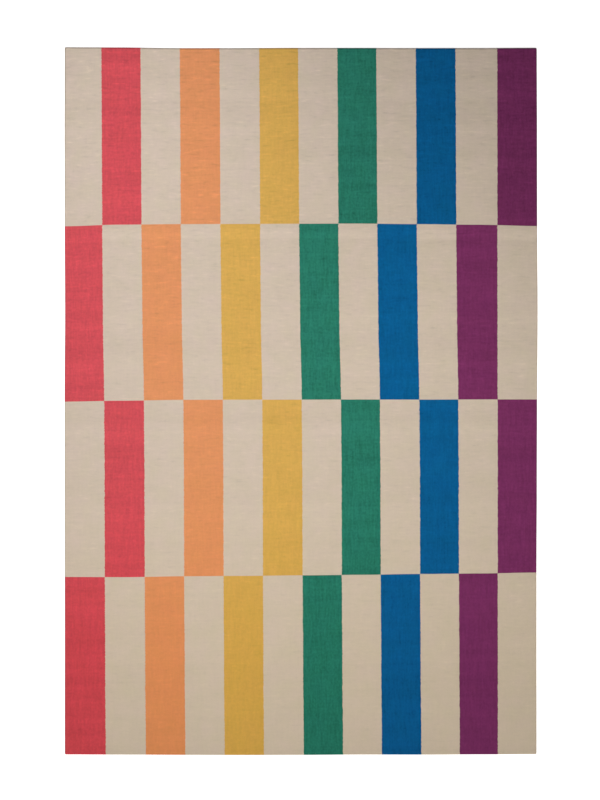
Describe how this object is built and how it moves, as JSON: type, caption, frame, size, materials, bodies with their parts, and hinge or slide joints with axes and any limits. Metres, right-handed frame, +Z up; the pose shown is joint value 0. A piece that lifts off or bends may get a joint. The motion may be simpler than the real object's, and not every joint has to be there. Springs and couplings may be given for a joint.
{
  "type": "flatweave rug",
  "caption": "Oblong flatweave rug, a thin cotton cloth lying flat, with staggered tall blocks of rainbow colours on a beige ground.",
  "frame": {"origin": "centre of the underside, on the floor that the rug lies on", "axes": "+X across the rug, along its wefts; +Y along its length, from the near end to the far end; +Z up, out of its face"},
  "size_m": [1.2022, 1.798, 0.0053],
  "materials": {
    "woven_cotton": "matt plain-woven cotton with slubs, beige with blocks of red, orange, yellow, green, blue and purple"
  },
  "bodies": {
    "root": {"rug": "woven_cotton"}
  },
  "joints": []
}
